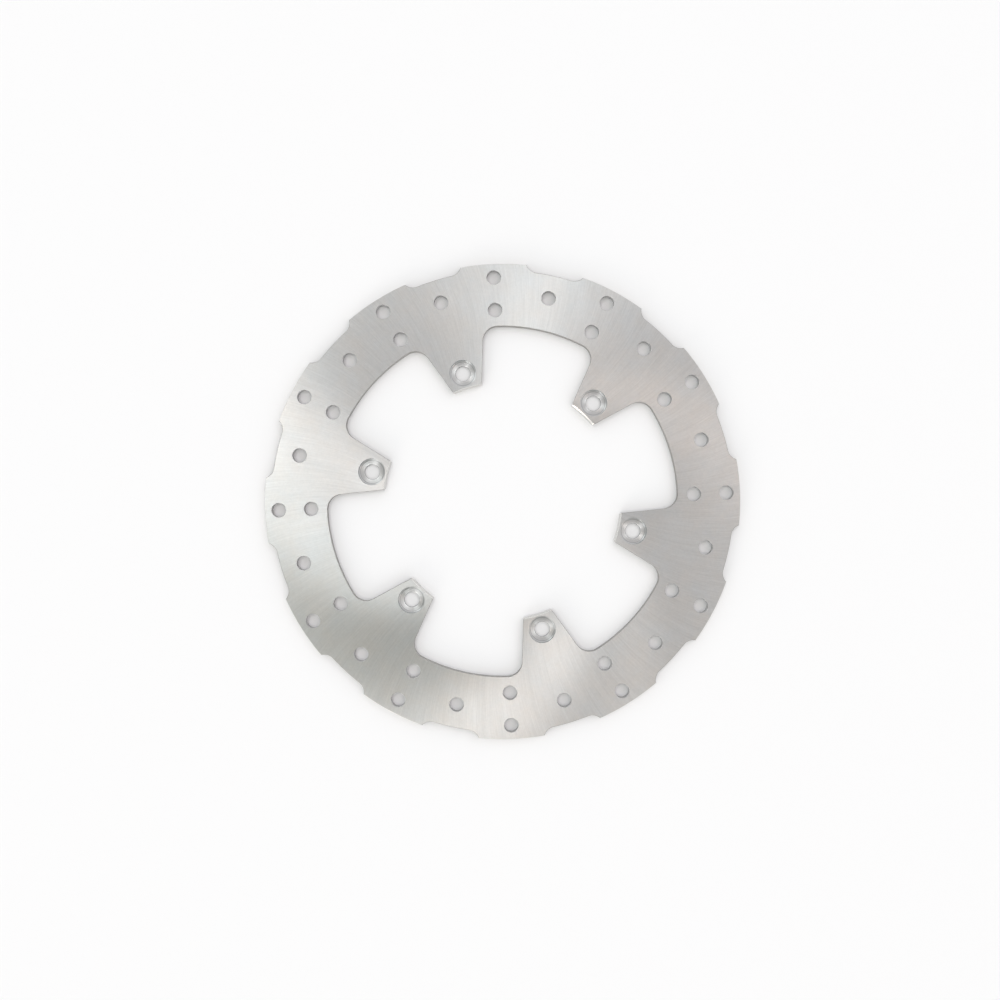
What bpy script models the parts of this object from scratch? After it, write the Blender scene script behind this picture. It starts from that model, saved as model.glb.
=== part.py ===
"""Motorcycle brake disc rotor: one flat plate of brake steel, with a lobed edge, a drilled friction
ring and six lugs that reach inward and are screwed to the wheel hub.

The plate lies flat. The origin is the centre of its hub face, +Z points out of the outer face,
where the screw heads sit, and +Y runs through the middle of a lobe. Lengths are in metres.
"""

import math

import bmesh
import bpy
from mathutils.geometry import delaunay_2d_cdt

MM = 0.001
DEGREE = math.pi / 180
FULL_TURN = 2 * math.pi

# Plate
THICKNESS = 4.0 * MM
OUTER_RADIUS = 120.0 * MM
RING_INNER_RADIUS = 88.65 * MM

# Lobed edge: each recess between two lobes has a floor on its own circle and a filleted end
LOBES = 12
LOBE_HALF_ANGLE = 8.0 * DEGREE
RECESS_DEPTH = 3.3 * MM
RECESS_FILLET = 6.0 * MM

# Drilled holes: a pair on each lobe's centre line, and a single one at each recess
DRILLED_RADIUS = 3.6 * MM
PAIR_RADII = (96.7 * MM, 113.1 * MM)
SINGLE_RADIUS = 105.1 * MM

# Lugs: their tips lie on the locating bore's circle, and they widen outward to the ring
LUGS = 6
FIRST_LUG = 45 * DEGREE
BORE_RADIUS = 59.8 * MM
BORE_CHAMFER = 0.6 * MM
TIP_HALF_WIDTH = 7.3 * MM
TIP_CORNER = 0.6 * MM
FLANK_FLARE = 18.8 * DEGREE
LUG_FILLET = 7.6 * MM

# Screw holes in the lugs: a clearance hole, and a flat seat sunk into the outer face
SCREW_CIRCLE_RADIUS = 67.75 * MM
SCREW_HOLE_RADIUS = 3.75 * MM
SCREW_HOLE_CHAMFER = 0.25 * MM
SEAT_RADIUS = 6.7 * MM
SEAT_DEPTH = 2.4 * MM

# Facets
LOBE_STEPS = 10
RECESS_STEPS = 7
FILLET_STEPS = 6
CORNER_STEPS = 3
RING_STEPS = 24
TIP_STEPS = 6
DRILLED_STEPS = 24
SCREW_STEPS = 32

STEEL_COLOUR = (0.60, 0.60, 0.59, 1.0)
STEEL_ROUGHNESS = 0.35
SMOOTH_ANGLE = 30 * DEGREE

# delaunay_2d_cdt's output type that fills an outline with triangles and leaves out its holes
WITHOUT_HOLES = 2
MERGE_DISTANCE = 1e-7


def polar(radius, angle):
    return radius * math.cos(angle), radius * math.sin(angle)


def arc(centre, radius, start, end, steps):
    """Points on an arc, both ends included."""
    points = []
    for step in range(steps + 1):
        x, y = polar(radius, start + (end - start) * step / steps)
        points.append((centre[0] + x, centre[1] + y))
    return points


def turned(points, angle):
    """The points, turned about the plate's axis."""
    cos, sin = math.cos(angle), math.sin(angle)
    return [(x * cos - y * sin, x * sin + y * cos) for x, y in points]


def circle(centre, radius, steps):
    return arc(centre, radius, 0, FULL_TURN, steps)[:-1]


def outer_outline():
    """The lobed edge. A fillet starts at the lobe's corner and runs into the recess's floor."""
    floor_radius = OUTER_RADIUS - RECESS_DEPTH
    middle = floor_radius + RECESS_FILLET
    to_corner = math.acos(
        (OUTER_RADIUS**2 + middle**2 - RECESS_FILLET**2) / (2 * OUTER_RADIUS * middle)
    )
    sweep = math.acos(
        (middle**2 + RECESS_FILLET**2 - OUTER_RADIUS**2) / (2 * middle * RECESS_FILLET)
    )
    pitch = FULL_TURN / LOBES
    floor_start = LOBE_HALF_ANGLE + to_corner
    towards_axis = floor_start + math.pi

    lobe = arc((0, 0), OUTER_RADIUS, -LOBE_HALF_ANGLE, LOBE_HALF_ANGLE, LOBE_STEPS)
    fillet = arc(
        polar(middle, floor_start),
        RECESS_FILLET,
        towards_axis + sweep,
        towards_axis,
        FILLET_STEPS,
    )
    floor = arc((0, 0), floor_radius, floor_start, pitch - floor_start, RECESS_STEPS)
    far_fillet = [(x, -y) for x, y in reversed(fillet)]
    one = lobe + fillet[1:] + floor[1:] + turned(far_fillet, pitch)[1:-1]
    return [point for lobe in range(LOBES) for point in turned(one, lobe * pitch)]


def beside_flank(offset, radius):
    """The point this far outside the lug's flank, at this distance from the plate's axis.

    The lug points along +X here, and its flank runs outward from the tip's sharp corner.
    """
    along = (math.cos(FLANK_FLARE), math.sin(FLANK_FLARE))
    outward = (-along[1], along[0])
    corner = (math.sqrt(BORE_RADIUS**2 - TIP_HALF_WIDTH**2), TIP_HALF_WIDTH)
    start = [c + offset * o for c, o in zip(corner, outward)]
    forward = start[0] * along[0] + start[1] * along[1]
    run = math.sqrt(forward**2 + radius**2 - start[0] ** 2 - start[1] ** 2) - forward
    return [s + run * a for s, a in zip(start, along)]


def flank_outline(tip_radius):
    """One side of a lug that points along +X: its tip's corner, then the fillet to the ring."""
    outward = FLANK_FLARE + math.pi / 2
    tip = beside_flank(-TIP_CORNER, tip_radius + TIP_CORNER)
    root = beside_flank(LUG_FILLET, RING_INNER_RADIUS - LUG_FILLET)
    tip_angle = math.atan2(tip[1], tip[0])
    root_angle = math.atan2(root[1], root[0])
    corner = arc(tip, TIP_CORNER, tip_angle + math.pi, outward, CORNER_STEPS)
    fillet = arc(root, LUG_FILLET, outward - math.pi, root_angle, FILLET_STEPS)
    return corner + fillet


def inner_outline(tip_radius):
    """The edge that the lugs and the bays between them make."""
    pitch = FULL_TURN / LUGS
    flank = flank_outline(tip_radius)
    tip_angle = math.atan2(flank[0][1], flank[0][0])
    root_angle = math.atan2(flank[-1][1], flank[-1][0])
    tip = arc((0, 0), tip_radius, -tip_angle, tip_angle, TIP_STEPS)
    bay = arc((0, 0), RING_INNER_RADIUS, root_angle, pitch - root_angle, RING_STEPS)
    near_flank = [(x, -y) for x, y in reversed(flank)]
    one = near_flank + tip[1:-1] + flank + bay[1:-1]
    return [p for lug in range(LUGS) for p in turned(one, FIRST_LUG + lug * pitch)]


def inner_sections():
    """The lugs' and bays' wall. Only the lugs' tips have a chamfer, at the outer face."""
    bore = inner_outline(BORE_RADIUS)
    rim = inner_outline(BORE_RADIUS + BORE_CHAMFER)
    return [(bore, 0), (bore, THICKNESS - BORE_CHAMFER), (rim, THICKNESS)]


def drilled_centres():
    pitch = FULL_TURN / LOBES
    for lobe in range(LOBES):
        for radius in PAIR_RADII:
            yield polar(radius, lobe * pitch)
        yield polar(SINGLE_RADIUS, (lobe + 0.5) * pitch)


def screw_centres():
    for lug in range(LUGS):
        yield polar(SCREW_CIRCLE_RADIUS, FIRST_LUG + lug * FULL_TURN / LUGS)


def add_wall(mesh, sections):
    """The wall through these closed outlines, each (points, height), from the hub face up.

    Returns its lowest and highest loops of corners.
    """
    loops = []
    for points, height in sections:
        loops.append([mesh.verts.new((x, y, height)) for x, y in points])
    for lower, upper in zip(loops, loops[1:]):
        for here in range(len(lower)):
            back = here - 1
            mesh.faces.new((lower[back], lower[here], upper[here], upper[back]))
    return loops[0], loops[-1]


def add_flat_face(mesh, loops):
    """The face inside the first loop of corners and outside all the others, in triangles."""
    corners, edges = [], []
    for loop in loops:
        first = len(corners)
        edges += [(first + step, first + (step + 1) % len(loop)) for step in range(len(loop))]
        corners += loop
    places = [corner.co.to_2d() for corner in corners]
    outline = list(range(len(loops[0])))
    filled = delaunay_2d_cdt(places, edges, [outline], WITHOUT_HOLES, MERGE_DISTANCE)
    triangles, sources = filled[2], filled[3]
    for triangle in triangles:
        mesh.faces.new([corners[sources[index][0]] for index in triangle])


def screw_hole_sections(centre):
    """The hub-side clearance hole, its chamfer, and the seat's floor and wall."""
    floor = THICKNESS - SEAT_DEPTH
    steps = (
        (SCREW_HOLE_RADIUS, 0),
        (SCREW_HOLE_RADIUS, floor - SCREW_HOLE_CHAMFER),
        (SCREW_HOLE_RADIUS + SCREW_HOLE_CHAMFER, floor),
        (SEAT_RADIUS, floor),
        (SEAT_RADIUS, THICKNESS),
    )
    return [(circle(centre, radius, SCREW_STEPS), height) for radius, height in steps]


def steel():
    material = bpy.data.materials.new("ground_steel")
    material.use_nodes = True
    shader = material.node_tree.nodes["Principled BSDF"]
    shader.inputs["Base Color"].default_value = STEEL_COLOUR
    shader.inputs["Roughness"].default_value = STEEL_ROUGHNESS
    shader.inputs["Metallic"].default_value = 1.0
    return material


def rotor_disc():
    mesh = bmesh.new()
    hub_face, outer_face = [], []
    outlines = [outer_outline()]
    outlines += [circle(c, DRILLED_RADIUS, DRILLED_STEPS) for c in drilled_centres()]
    walls = [[(outline, 0), (outline, THICKNESS)] for outline in outlines]
    walls.append(inner_sections())
    walls += [screw_hole_sections(centre) for centre in screw_centres()]
    for sections in walls:
        lowest, highest = add_wall(mesh, sections)
        hub_face.append(lowest)
        outer_face.append(highest)
    for loops in (hub_face, outer_face):
        add_flat_face(mesh, loops)
    bmesh.ops.recalc_face_normals(mesh, faces=mesh.faces)

    data = bpy.data.meshes.new("rotor_disc")
    mesh.to_mesh(data)
    mesh.free()
    data.shade_smooth()
    data.set_sharp_from_angle(angle=SMOOTH_ANGLE)
    data.materials.append(steel())
    disc = bpy.data.objects.new("rotor_disc", data)
    bpy.context.scene.collection.objects.link(disc)
    return disc


def main():
    for old in list(bpy.data.objects):
        bpy.data.objects.remove(old)
    rotor_disc()


main()
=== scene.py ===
"""Looks of the motorcycle brake disc rotor: its finely meshed plate, ground and machined steel,
a pale studio floor, soft light and a camera straight above.

Lengths are in metres, in the frame of the CAD part: the origin is the centre of the hub face,
+Z points out of the outer face and +Y runs through the middle of a lobe.
"""

import math

import bmesh
import bpy
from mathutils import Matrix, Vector
from mathutils.geometry import delaunay_2d_cdt


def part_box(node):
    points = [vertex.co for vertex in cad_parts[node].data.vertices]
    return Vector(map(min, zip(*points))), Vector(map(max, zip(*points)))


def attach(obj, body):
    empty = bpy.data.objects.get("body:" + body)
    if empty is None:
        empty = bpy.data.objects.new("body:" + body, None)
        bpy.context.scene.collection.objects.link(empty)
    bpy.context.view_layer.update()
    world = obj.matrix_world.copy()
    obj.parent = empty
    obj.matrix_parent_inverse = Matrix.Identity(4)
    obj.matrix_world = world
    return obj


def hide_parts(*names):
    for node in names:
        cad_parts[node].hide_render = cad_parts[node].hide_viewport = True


MM = 0.001
DEGREE = math.pi / 180
FULL_TURN = 2 * math.pi

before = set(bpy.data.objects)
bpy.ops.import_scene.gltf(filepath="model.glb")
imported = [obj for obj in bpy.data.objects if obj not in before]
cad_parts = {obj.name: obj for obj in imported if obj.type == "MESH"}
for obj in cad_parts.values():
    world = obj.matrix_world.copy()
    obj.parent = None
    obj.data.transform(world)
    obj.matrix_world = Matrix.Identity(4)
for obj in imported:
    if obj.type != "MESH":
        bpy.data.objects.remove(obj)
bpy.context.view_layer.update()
rotor_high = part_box("rotor_disc")[1]

# Plate
THICKNESS = rotor_high.z
OUTER_RADIUS = rotor_high.x
RING_INNER_RADIUS = 88.65 * MM

# Lobed edge
LOBES = 12
LOBE_HALF_ANGLE = 8.0 * DEGREE
RECESS_DEPTH = 3.3 * MM
RECESS_FILLET = 6.0 * MM

# Drilled holes
DRILLED_RADIUS = 3.6 * MM
PAIR_RADII = (96.7 * MM, 113.1 * MM)
SINGLE_RADIUS = 105.1 * MM

# Lugs
LUGS = 6
FIRST_LUG = 45 * DEGREE
BORE_RADIUS = 59.8 * MM
BORE_CHAMFER = 0.6 * MM
TIP_HALF_WIDTH = 7.3 * MM
TIP_CORNER = 0.6 * MM
FLANK_FLARE = 18.8 * DEGREE
LUG_FILLET = 7.6 * MM

# Screw holes
SCREW_CIRCLE_RADIUS = 67.75 * MM
SCREW_HOLE_RADIUS = 3.75 * MM
SCREW_HOLE_CHAMFER = 0.25 * MM
SEAT_RADIUS = 6.7 * MM
SEAT_DEPTH = 2.4 * MM
SEAT_CORNER = 0.2 * MM

# Broken edges
RECESS_BREAK = 0.22 * MM
LOBE_BREAK = 0.1 * MM
LUG_BREAK = 0.12 * MM
HOLE_BREAK = 0.12 * MM
SEAT_BREAK = 0.08 * MM

# Facets
LOBE_STEPS = 24
RECESS_STEPS = 20
FILLET_STEPS = 12
CORNER_STEPS = 6
RING_STEPS = 72
TIP_STEPS = 12
DRILLED_STEPS = 64
SCREW_STEPS = 96
BREAK_STEPS = 3
SMOOTH_ANGLE = 32 * DEGREE

# Grinding marks: arcs left by the rim of a cup wheel that stands beside the rotor's axis
WHEEL_RADIUS = 125 * MM
WHEEL_OFFSET = 153.4 * MM
FINE_MARKS = {"density": 260, "length": 14 * MM, "detail": 3}
BROAD_MARKS = {"density": 60, "length": 30 * MM, "detail": 2}
FINE_SHARE = 2.2
MARK_DEPTH = 0.009 * MM

# Scales of the other marks in the steel: larger numbers are finer
CLOUD_SCALE = 22
STAIN_SCALE = 50
GRAIN_SCALE = 900
CUT_SCALE = 420
SIZED_SCALE = 5200
TURNED_FINE_SCALE = 4200
TURNED_BROAD_SCALE = 1300
TURNED_BROAD_SHARE = 0.65
SIZED_DEPTH = 0.01 * MM
CUT_DEPTH = 0.02 * MM
TURNED_DEPTH = 0.02 * MM

# Colours of the steel, from its darkest marks to its brightest
GROUND_COLOURS = ((0.545, 0.545, 0.535, 1), (0.625, 0.625, 0.615, 1))
CUT_COLOURS = ((0.34, 0.33, 0.32, 1), (0.44, 0.43, 0.41, 1))
SIZED_COLOURS = ((0.70, 0.68, 0.65, 1), (0.78, 0.76, 0.73, 1))
DRILLED_COLOURS = ((0.48, 0.48, 0.48, 1), (0.58, 0.58, 0.57, 1))
MILLED_COLOURS = ((0.355, 0.365, 0.365, 1), (0.615, 0.63, 0.625, 1))
STAIN_TINTS = ((1.0, 0.985, 0.965, 1), (0.97, 0.99, 1.0, 1))
GRAIN_TONES = (0.965, 1.025)

# Roughness of the steel, from the low end of its marks to the high end
GROUND_ROUGHNESS = (0.38, 0.42)
CUT_ROUGHNESS = (0.42, 0.55)
SIZED_ROUGHNESS = (0.26, 0.34)
TURNED_ROUGHNESS = (0.42, 0.34)
GROUND_ANISOTROPY = 1.0
TURNED_ANISOTROPY = 0.9

# Surfaces of the mesh, in the order of its materials
GROUND, CUT, SIZED, TURNED = range(4)

# delaunay_2d_cdt's output type that fills an outline with triangles and leaves out its holes
WITHOUT_HOLES = 2
MERGE_DISTANCE = 1e-7


# ---------------------------------------------------------------- outlines, as in the CAD part


def polar(radius, angle):
    return radius * math.cos(angle), radius * math.sin(angle)


def arc(centre, radius, start, end, steps):
    """Points on an arc, both ends included."""
    points = []
    for step in range(steps + 1):
        x, y = polar(radius, start + (end - start) * step / steps)
        points.append((centre[0] + x, centre[1] + y))
    return points


def turned(points, angle):
    """The points, turned about the plate's axis."""
    cos, sin = math.cos(angle), math.sin(angle)
    return [(x * cos - y * sin, x * sin + y * cos) for x, y in points]


def circle(centre, radius, steps):
    return arc(centre, radius, 0, FULL_TURN, steps)[:-1]


def outer_outline():
    """The lobed edge. A fillet starts at the lobe's corner and runs into the recess's floor."""
    floor_radius = OUTER_RADIUS - RECESS_DEPTH
    middle = floor_radius + RECESS_FILLET
    to_corner = math.acos(
        (OUTER_RADIUS**2 + middle**2 - RECESS_FILLET**2) / (2 * OUTER_RADIUS * middle)
    )
    sweep = math.acos(
        (middle**2 + RECESS_FILLET**2 - OUTER_RADIUS**2) / (2 * middle * RECESS_FILLET)
    )
    pitch = FULL_TURN / LOBES
    floor_start = LOBE_HALF_ANGLE + to_corner
    towards_axis = floor_start + math.pi

    lobe = arc((0, 0), OUTER_RADIUS, -LOBE_HALF_ANGLE, LOBE_HALF_ANGLE, LOBE_STEPS)
    fillet = arc(
        polar(middle, floor_start),
        RECESS_FILLET,
        towards_axis + sweep,
        towards_axis,
        FILLET_STEPS,
    )
    floor = arc((0, 0), floor_radius, floor_start, pitch - floor_start, RECESS_STEPS)
    far_fillet = [(x, -y) for x, y in reversed(fillet)]
    one = lobe + fillet[1:] + floor[1:] + turned(far_fillet, pitch)[1:-1]
    return [point for lobe in range(LOBES) for point in turned(one, lobe * pitch)]


def beside_flank(offset, radius):
    """The point this far outside the lug's flank, at this distance from the plate's axis.

    The lug points along +X here, and its flank runs outward from the tip's sharp corner.
    """
    along = (math.cos(FLANK_FLARE), math.sin(FLANK_FLARE))
    outward = (-along[1], along[0])
    corner = (math.sqrt(BORE_RADIUS**2 - TIP_HALF_WIDTH**2), TIP_HALF_WIDTH)
    start = [c + offset * o for c, o in zip(corner, outward)]
    forward = start[0] * along[0] + start[1] * along[1]
    run = math.sqrt(forward**2 + radius**2 - start[0] ** 2 - start[1] ** 2) - forward
    return [s + run * a for s, a in zip(start, along)]


def flank_outline(tip_radius):
    """One side of a lug that points along +X: its tip's corner, then the fillet to the ring."""
    outward = FLANK_FLARE + math.pi / 2
    tip = beside_flank(-TIP_CORNER, tip_radius + TIP_CORNER)
    root = beside_flank(LUG_FILLET, RING_INNER_RADIUS - LUG_FILLET)
    tip_angle = math.atan2(tip[1], tip[0])
    root_angle = math.atan2(root[1], root[0])
    corner = arc(tip, TIP_CORNER, tip_angle + math.pi, outward, CORNER_STEPS)
    fillet = arc(root, LUG_FILLET, outward - math.pi, root_angle, FILLET_STEPS)
    return corner + fillet


def inner_outline(tip_radius):
    """The edge that the lugs and the bays between them make."""
    pitch = FULL_TURN / LUGS
    flank = flank_outline(tip_radius)
    tip_angle = math.atan2(flank[0][1], flank[0][0])
    root_angle = math.atan2(flank[-1][1], flank[-1][0])
    tip = arc((0, 0), tip_radius, -tip_angle, tip_angle, TIP_STEPS)
    bay = arc((0, 0), RING_INNER_RADIUS, root_angle, pitch - root_angle, RING_STEPS)
    near_flank = [(x, -y) for x, y in reversed(flank)]
    one = near_flank + tip[1:-1] + flank + bay[1:-1]
    return [p for lug in range(LUGS) for p in turned(one, FIRST_LUG + lug * pitch)]


def drilled_centres():
    pitch = FULL_TURN / LOBES
    for lobe in range(LOBES):
        for radius in PAIR_RADII:
            yield polar(radius, lobe * pitch)
        yield polar(SINGLE_RADIUS, (lobe + 0.5) * pitch)


def screw_centres():
    for lug in range(LUGS):
        yield polar(SCREW_CIRCLE_RADIUS, FIRST_LUG + lug * FULL_TURN / LUGS)


# ---------------------------------------------------------------- the plate's mesh


def moved_left(points, distances):
    """A closed outline with each corner moved to the left of its run, by its own distance."""
    moved = []
    for here, (x, y) in enumerate(points):
        before, after = points[here - 1], points[(here + 1) % len(points)]
        come = Vector((x - before[0], y - before[1])).normalized()
        leave = Vector((after[0] - x, after[1] - y)).normalized()
        both = Vector((-come.y - leave.y, come.x + leave.x))
        step = both * distances[here] / (1 + come.dot(leave))
        moved.append((x + step.x, y + step.y))
    return moved


def hub_edge(points, breaks):
    """The rounded edge at the hub face, from the face up. A break below zero widens an opening."""
    sections = []
    for step in range(BREAK_STEPS + 1):
        turn = step / BREAK_STEPS * math.pi / 2
        back, up = 1 - math.sin(turn), 1 - math.cos(turn)
        outline = moved_left(points, [size * back for size in breaks])
        sections.append((outline, [abs(size) * up for size in breaks]))
    return sections


def outer_edge(points, breaks):
    """The same rounded edge at the outer face, from below up to the face."""
    return [
        (outline, [THICKNESS - height for height in heights])
        for outline, heights in reversed(hub_edge(points, breaks))
    ]


def outer_sections():
    points = outer_outline()
    on_lobe = OUTER_RADIUS - LOBE_BREAK
    breaks = [LOBE_BREAK if math.hypot(x, y) > on_lobe else RECESS_BREAK for x, y in points]
    return hub_edge(points, breaks) + outer_edge(points, breaks)


def inner_sections():
    """The lugs' and bays' wall. Only the lugs' tips have a chamfer, at the outer face."""
    bore = inner_outline(BORE_RADIUS)
    rim = inner_outline(BORE_RADIUS + BORE_CHAMFER)
    breaks = [-LUG_BREAK] * len(bore)
    chamfer_foot = (bore, [THICKNESS - BORE_CHAMFER] * len(bore))
    return hub_edge(bore, breaks) + [chamfer_foot] + outer_edge(rim, breaks)


def drilled_sections(centre):
    points = circle(centre, DRILLED_RADIUS, DRILLED_STEPS)
    breaks = [-HOLE_BREAK] * len(points)
    return hub_edge(points, breaks) + outer_edge(points, breaks)


def screw_hole_sections(centre):
    """The clearance hole from the hub face up, its chamfer, and the seat with its rounded corner."""
    floor = THICKNESS - SEAT_DEPTH
    profile = [
        (SCREW_HOLE_RADIUS + HOLE_BREAK, 0),
        (SCREW_HOLE_RADIUS, HOLE_BREAK),
        (SCREW_HOLE_RADIUS, floor - SCREW_HOLE_CHAMFER),
        (SCREW_HOLE_RADIUS + SCREW_HOLE_CHAMFER, floor),
    ]
    corner = (SEAT_RADIUS - SEAT_CORNER, floor + SEAT_CORNER)
    profile += arc(corner, SEAT_CORNER, -math.pi / 2, 0, BREAK_STEPS)
    rim = (SEAT_RADIUS + SEAT_BREAK, THICKNESS - SEAT_BREAK)
    profile += arc(rim, SEAT_BREAK, math.pi, math.pi / 2, BREAK_STEPS)
    return [
        (circle(centre, radius, SCREW_STEPS), [height] * SCREW_STEPS)
        for radius, height in profile
    ]


def add_wall(mesh, sections, surface, centre, from_centre):
    """The wall through these closed outlines, each (points, heights), from the hub face up.

    Returns its lowest and highest loops of corners.
    """
    loops = []
    for points, heights in sections:
        loop = [mesh.verts.new((x, y, z)) for (x, y), z in zip(points, heights)]
        for corner in loop:
            corner[from_centre] = (corner.co.x - centre[0], corner.co.y - centre[1], corner.co.z)
        loops.append(loop)
    for lower, upper in zip(loops, loops[1:]):
        for here in range(len(lower)):
            back = here - 1
            face = mesh.faces.new((lower[back], lower[here], upper[here], upper[back]))
            face.material_index = surface
    return loops[0], loops[-1]


def add_flat_face(mesh, loops):
    """The face inside the first loop of corners and outside all the others, in triangles."""
    corners, edges = [], []
    for loop in loops:
        first = len(corners)
        edges += [(first + step, first + (step + 1) % len(loop)) for step in range(len(loop))]
        corners += loop
    places = [corner.co.to_2d() for corner in corners]
    outline = list(range(len(loops[0])))
    filled = delaunay_2d_cdt(places, edges, [outline], WITHOUT_HOLES, MERGE_DISTANCE)
    triangles, sources = filled[2], filled[3]
    for triangle in triangles:
        face = mesh.faces.new([corners[sources[index][0]] for index in triangle])
        face.material_index = GROUND


def size_machined(face):
    """Whether a face of the edge lies on a lobe's crest or a lug's tip, which were cut to size."""
    middle = face.calc_center_median()
    radius = math.hypot(middle.x, middle.y)
    return radius > OUTER_RADIUS - 2 * LOBE_BREAK or radius < BORE_RADIUS + BORE_CHAMFER + LUG_BREAK


def surfaces(edge):
    """The surfaces that meet at an edge."""
    return {face.material_index for face in edge.link_faces}


def plate():
    mesh = bmesh.new()
    from_centre = mesh.verts.layers.float_vector.new("from_centre")
    axis = (0, 0)
    walls = [(outer_sections(), CUT, axis), (inner_sections(), CUT, axis)]
    walls += [(drilled_sections(c), TURNED, c) for c in drilled_centres()]
    walls += [(screw_hole_sections(c), TURNED, c) for c in screw_centres()]
    hub_face, outer_face = [], []
    for sections, surface, centre in walls:
        lowest, highest = add_wall(mesh, sections, surface, centre, from_centre)
        hub_face.append(lowest)
        outer_face.append(highest)
    for face in mesh.faces:
        if face.material_index == CUT and size_machined(face):
            face.material_index = SIZED
    add_flat_face(mesh, hub_face)
    add_flat_face(mesh, outer_face)
    bmesh.ops.recalc_face_normals(mesh, faces=mesh.faces)

    data = bpy.data.meshes.new("rotor")
    mesh.to_mesh(data)
    data.shade_smooth()
    data.set_sharp_from_angle(angle=SMOOTH_ANGLE)
    meets = [(edge.index, surfaces(edge)) for edge in mesh.edges]
    rims = [index for index, found in meets if GROUND in found and len(found) > 1]
    mesh.free()
    sharp = data.attributes["sharp_edge"].data
    for index in rims:
        sharp[index].value = True
    rotor = bpy.data.objects.new("rotor", data)
    bpy.context.scene.collection.objects.link(rotor)
    return rotor


# ---------------------------------------------------------------- materials


class Shading:
    """A new material, and short calls that add nodes to it. An input is a value or an output."""

    def __init__(self, name):
        self.material = bpy.data.materials.new(name)
        self.material.use_nodes = True
        self.tree = self.material.node_tree
        self.shader = self.tree.nodes["Principled BSDF"]

    def feed(self, socket, value):
        if isinstance(value, bpy.types.NodeSocket):
            self.tree.links.new(value, socket)
        else:
            socket.default_value = value

    def math(self, operation, *values):
        node = self.tree.nodes.new("ShaderNodeMath")
        node.operation = operation
        for socket, value in zip(node.inputs, values):
            self.feed(socket, value)
        return node.outputs[0]

    def vector(self, operation, *values):
        node = self.tree.nodes.new("ShaderNodeVectorMath")
        node.operation = operation
        for socket, value in zip(node.inputs, values):
            self.feed(socket, value)
        return node.outputs[0]

    def combine(self, x, y, z):
        node = self.tree.nodes.new("ShaderNodeCombineXYZ")
        for socket, value in zip(node.inputs, (x, y, z)):
            self.feed(socket, value)
        return node.outputs[0]

    def separate(self, vector):
        node = self.tree.nodes.new("ShaderNodeSeparateXYZ")
        self.feed(node.inputs[0], vector)
        return node.outputs

    def noise(self, place, scale, detail=2.0, roughness=0.5):
        node = self.tree.nodes.new("ShaderNodeTexNoise")
        self.feed(node.inputs["Vector"], place)
        node.inputs["Scale"].default_value = scale
        node.inputs["Detail"].default_value = detail
        node.inputs["Roughness"].default_value = roughness
        return node.outputs[0]

    def range(self, value, from_low, from_high, to_low, to_high):
        node = self.tree.nodes.new("ShaderNodeMapRange")
        for socket, number in zip(node.inputs, (value, from_low, from_high, to_low, to_high)):
            self.feed(socket, number)
        return node.outputs[0]

    def mix(self, factor, first, second):
        node = self.tree.nodes.new("ShaderNodeMix")
        node.data_type = "RGBA"
        self.feed(node.inputs["Factor"], factor)
        self.feed(node.inputs[6], first)
        self.feed(node.inputs[7], second)
        return node.outputs[2]

    def bump(self, height, distance):
        node = self.tree.nodes.new("ShaderNodeBump")
        node.inputs["Strength"].default_value = 1.0
        node.inputs["Distance"].default_value = distance
        self.feed(node.inputs["Height"], height)
        return node.outputs[0]

    def place(self):
        return self.tree.nodes.new("ShaderNodeTexCoord").outputs["Object"]

    def radius(self, x, y):
        return self.math("SQRT", self.math("MULTIPLY_ADD", x, x, self.math("MULTIPLY", y, y)))


def wheel_marks(shading):
    """Where a point lies among the grinding marks, and the direction across them.

    A mark is an arc of the wheel's rim. The wheel's centre stood at WHEEL_OFFSET from the axis, and its
    bearing when it made the mark comes from the point's radius, by the law of cosines.
    """
    x, y, z = shading.separate(shading.place())
    radius = shading.radius(x, y)
    apart = WHEEL_OFFSET**2 - WHEEL_RADIUS**2
    over = shading.math("MULTIPLY_ADD", radius, radius, apart)
    under = shading.math("MULTIPLY", radius, 2 * WHEEL_OFFSET)
    swing = shading.math("ARCCOSINE", shading.math("DIVIDE", over, under))
    bearing = shading.math("ADD", shading.math("ARCTAN2", y, x), swing)
    cos, sin = shading.math("COSINE", bearing), shading.math("SINE", bearing)
    wheel = shading.combine(
        shading.math("MULTIPLY", cos, WHEEL_OFFSET), shading.math("MULTIPLY", sin, WHEEL_OFFSET), 0
    )
    across = shading.vector("NORMALIZE", shading.vector("SUBTRACT", shading.combine(x, y, 0), wheel))
    return cos, sin, radius, z, across


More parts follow.
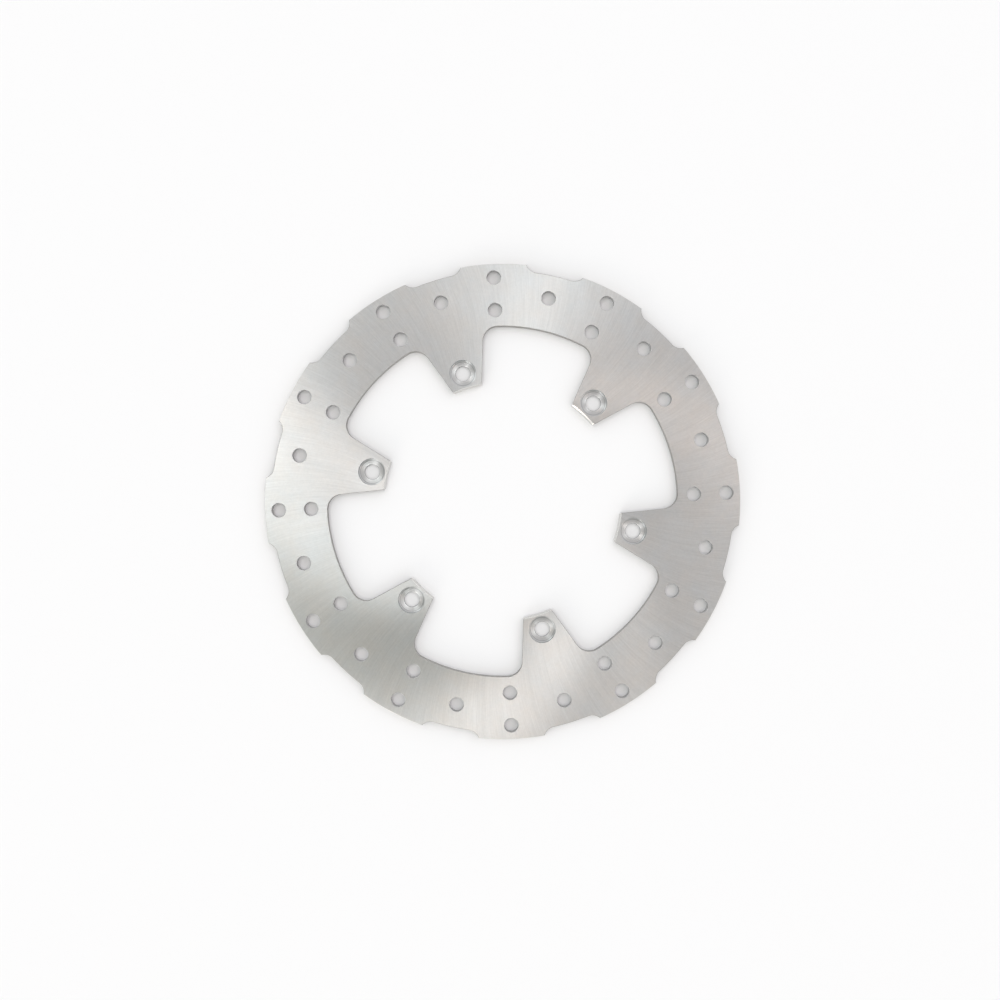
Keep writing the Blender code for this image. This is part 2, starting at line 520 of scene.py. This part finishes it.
def ground_steel():
    shading = Shading("ground_steel")
    cos, sin, radius, z, across = wheel_marks(shading)
    side = shading.math("MULTIPLY", z, 1 / THICKNESS)

    def marks(density, length, detail):
        """Noise drawn out along the marks: density is per radian round the axis, length in metres."""
        along = shading.math("ADD", shading.math("DIVIDE", radius, length), side)
        place = shading.combine(
            shading.math("MULTIPLY", cos, density), shading.math("MULTIPLY", sin, density), along
        )
        return shading.noise(place, 1.0, detail)

    fine = marks(**FINE_MARKS)
    broad = marks(**BROAD_MARKS)
    cloud = shading.noise(shading.place(), CLOUD_SCALE, 2)
    lines = shading.math("MULTIPLY_ADD", fine, FINE_SHARE, broad)
    tone = shading.range(lines, 1.0, 2.2, 0, 1)
    colour = shading.mix(tone, *GROUND_COLOURS)
    stain = shading.range(shading.noise(shading.place(), STAIN_SCALE, 4, 0.7), 0.35, 0.65, 0, 1)
    tint = shading.mix(stain, *STAIN_TINTS)
    grain = shading.range(
        shading.noise(shading.place(), GRAIN_SCALE, 2, 0.6), 0.3, 0.7, *GRAIN_TONES
    )
    mottled = shading.vector("MULTIPLY", colour, tint)
    shader = shading.shader
    shading.feed(shader.inputs["Base Color"], shading.vector("MULTIPLY", mottled, grain))
    shading.feed(shader.inputs["Roughness"], shading.range(cloud, 0.3, 0.7, *GROUND_ROUGHNESS))
    shader.inputs["Metallic"].default_value = 1.0
    shader.inputs["Anisotropic"].default_value = GROUND_ANISOTROPY
    shading.feed(shader.inputs["Tangent"], across)
    shading.feed(shader.inputs["Normal"], shading.bump(lines, MARK_DEPTH))
    return shading.material


def cut_steel():
    """The dull edge of the bays, flanks and recesses, marked across its thickness."""
    shading = Shading("cut_steel")
    x, y, z = shading.separate(shading.place())
    bearing = shading.vector("NORMALIZE", shading.combine(x, y, 0))
    scales = (CUT_SCALE, CUT_SCALE, CUT_SCALE)
    marks = shading.vector("MULTIPLY_ADD", bearing, scales, shading.combine(0, 0, z))
    lines = shading.noise(marks, 1.0, 3)
    shader = shading.shader
    tone = shading.range(lines, 0.3, 0.7, 0, 1)
    colour = shading.mix(tone, *CUT_COLOURS)
    shading.feed(shader.inputs["Base Color"], colour)
    shading.feed(shader.inputs["Roughness"], shading.range(lines, 0.3, 0.7, *CUT_ROUGHNESS))
    shader.inputs["Metallic"].default_value = 1.0
    shading.feed(shader.inputs["Normal"], shading.bump(lines, CUT_DEPTH))
    return shading.material


def sized_steel():
    """The bright edge of the lobes and the lugs' tips, with fine rings about the rotor's axis."""
    shading = Shading("sized_steel")
    x, y, z = shading.separate(shading.place())
    radius = shading.radius(x, y)
    rings = shading.noise(shading.combine(radius, z, 0), SIZED_SCALE, 2)
    shader = shading.shader
    tone = shading.range(rings, 0.3, 0.7, 0, 1)
    colour = shading.mix(tone, *SIZED_COLOURS)
    shading.feed(shader.inputs["Base Color"], colour)
    shading.feed(shader.inputs["Roughness"], shading.range(rings, 0.3, 0.7, *SIZED_ROUGHNESS))
    shader.inputs["Metallic"].default_value = 1.0
    shading.feed(shader.inputs["Normal"], shading.bump(rings, SIZED_DEPTH))
    return shading.material


def turned_steel():
    """Bright drilled walls and duller milled screw seats, with rings about the hole's own axis."""
    shading = Shading("turned_steel")
    attribute = shading.tree.nodes.new("ShaderNodeAttribute")
    attribute.attribute_name = "from_centre"
    x, y, z = shading.separate(attribute.outputs["Vector"])
    radius = shading.radius(x, y)
    fine = shading.noise(shading.combine(radius, z, 0), TURNED_FINE_SCALE, 2)
    broad = shading.noise(shading.combine(radius, z, 0), TURNED_BROAD_SCALE, 0)
    fine_part = shading.math("MULTIPLY", fine, 1 - TURNED_BROAD_SHARE)
    rings = shading.math("MULTIPLY_ADD", broad, TURNED_BROAD_SHARE, fine_part)
    shader = shading.shader
    tone = shading.range(rings, 0.4, 0.6, 0, 1)
    drilled = shading.mix(tone, *DRILLED_COLOURS)
    milled = shading.mix(tone, *MILLED_COLOURS)
    seat_start = SCREW_HOLE_RADIUS + SCREW_HOLE_CHAMFER
    on_seat = shading.range(radius, SCREW_HOLE_RADIUS, seat_start, 0, 1)
    colour = shading.mix(on_seat, drilled, milled)
    shading.feed(shader.inputs["Base Color"], colour)
    shading.feed(shader.inputs["Roughness"], shading.range(rings, 0.35, 0.65, *TURNED_ROUGHNESS))
    shader.inputs["Metallic"].default_value = 1.0
    shader.inputs["Anisotropic"].default_value = TURNED_ANISOTROPY
    across = shading.vector("NORMALIZE", shading.combine(x, y, 0))
    shading.feed(shader.inputs["Tangent"], across)
    shading.feed(shader.inputs["Normal"], shading.bump(fine, TURNED_DEPTH))
    return shading.material


rotor = plate()
for material in (ground_steel(), cut_steel(), sized_steel(), turned_steel()):
    rotor.data.materials.append(material)
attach(rotor, "root")
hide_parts("rotor_disc")


# ---------------------------------------------------------------- studio

FLOOR_HALF_WIDTH = 3.0
FLOOR_GAP = 0.1 * MM
FLOOR_COLOUR = (0.90, 0.90, 0.90, 1)
CAMERA_HEIGHT = 0.5
VIEW_WIDTH = 0.5048
CAMERA_TURN = -2.24 * DEGREE
CAMERA_PLACE = (-1.26 * MM, 0.77 * MM)

LIGHT_DISTANCE = 8.0
# Name, bearing, tilt, spread, radiance and tint
SOFTBOXES = (
    ("lamp_low_left", 222.5 * DEGREE, 19.5 * DEGREE, 5 * DEGREE, 10.3, (1.0, 0.99, 1.0)),
    ("lamp_high_left", 308.5 * DEGREE, 21.5 * DEGREE, 5 * DEGREE, 10.8, (0.96, 0.99, 1.0)),
    ("ceiling_panel", 44 * DEGREE, 19.5 * DEGREE, 30 * DEGREE, 0.84, (0.97, 0.90, 1.0)),
    ("lamp_right", 117 * DEGREE, 23.5 * DEGREE, 5 * DEGREE, 4.0, (1.0, 0.82, 0.71)),
    ("side_panel", 210 * DEGREE, 76 * DEGREE, 10 * DEGREE, 5.9, (1.0, 0.91, 0.85)),
)
# Height from floor to top (0 to 1) and colour
TENT_GLOW = (
    (0.0, (0.59, 0.60, 0.60)),
    (0.34, (0.935, 0.97, 0.99)),
    (0.71, (0.935, 0.97, 0.99)),
    (0.91, (0.23, 0.22, 0.14)),
)


def floor():
    half = FLOOR_HALF_WIDTH
    data = bpy.data.meshes.new("floor")
    corners = [(-half, -half, -FLOOR_GAP), (half, -half, -FLOOR_GAP)]
    corners += [(half, half, -FLOOR_GAP), (-half, half, -FLOOR_GAP)]
    data.from_pydata(corners, [], [(0, 1, 2, 3)])
    shading = Shading("floor_paper")
    shading.shader.inputs["Base Color"].default_value = FLOOR_COLOUR
    shading.shader.inputs["Roughness"].default_value = 1.0
    shading.shader.inputs["Specular IOR Level"].default_value = 0.0
    data.materials.append(shading.material)
    made = bpy.data.objects.new("floor", data)
    bpy.context.scene.collection.objects.link(made)


def softbox(name, bearing, tilt, spread, radiance, tint):
    """A round area light that points at the rotor. Its bearing is clockwise from the camera's up.

    Its tilt is from straight up, and its spread is the angle of its radius, seen from the rotor.
    """
    radius = LIGHT_DISTANCE * math.tan(spread)
    data = bpy.data.lights.new(name, "AREA")
    data.shape = "DISK"
    data.size = 2 * radius
    data.energy = radiance * math.pi * math.pi * radius**2
    data.color = tint
    light = bpy.data.objects.new(name, data)
    across, turn = math.sin(tilt), bearing - CAMERA_TURN
    light.location = LIGHT_DISTANCE * Vector(
        (across * math.sin(turn), across * math.cos(turn), math.cos(tilt))
    )
    light.rotation_euler = light.location.to_track_quat("Z", "Y").to_euler()
    light.visible_camera = False
    bpy.context.scene.collection.objects.link(light)


def tent():
    """A light tent round the rotor: brightest on its walls, dimmer at the floor and at its top."""
    world = bpy.data.worlds.new("tent")
    world.use_nodes = True
    nodes, links = world.node_tree.nodes, world.node_tree.links
    place = nodes.new("ShaderNodeTexCoord")
    split = nodes.new("ShaderNodeSeparateXYZ")
    ramp = nodes.new("ShaderNodeValToRGB")
    links.new(place.outputs["Generated"], split.inputs[0])
    links.new(split.outputs["Z"], ramp.inputs["Fac"])
    links.new(ramp.outputs["Color"], nodes["Background"].inputs["Color"])
    stops = ramp.color_ramp.elements
    while len(stops) < len(TENT_GLOW):
        stops.new(position=0.5)
    for stop, (height, colour) in zip(stops, TENT_GLOW):
        stop.position = height
        stop.color = (*colour, 1)
    bpy.context.scene.world = world


def studio():
    tent()
    for light in SOFTBOXES:
        softbox(*light)
    bpy.context.scene.view_settings.view_transform = "Standard"


def camera():
    data = bpy.data.cameras.new("camera")
    data.lens = data.sensor_width * CAMERA_HEIGHT / VIEW_WIDTH
    made = bpy.data.objects.new("camera", data)
    made.location = (*CAMERA_PLACE, THICKNESS + CAMERA_HEIGHT)
    made.rotation_euler = (0, 0, CAMERA_TURN)
    bpy.context.scene.collection.objects.link(made)
    bpy.context.scene.camera = made


floor()
studio()
camera()
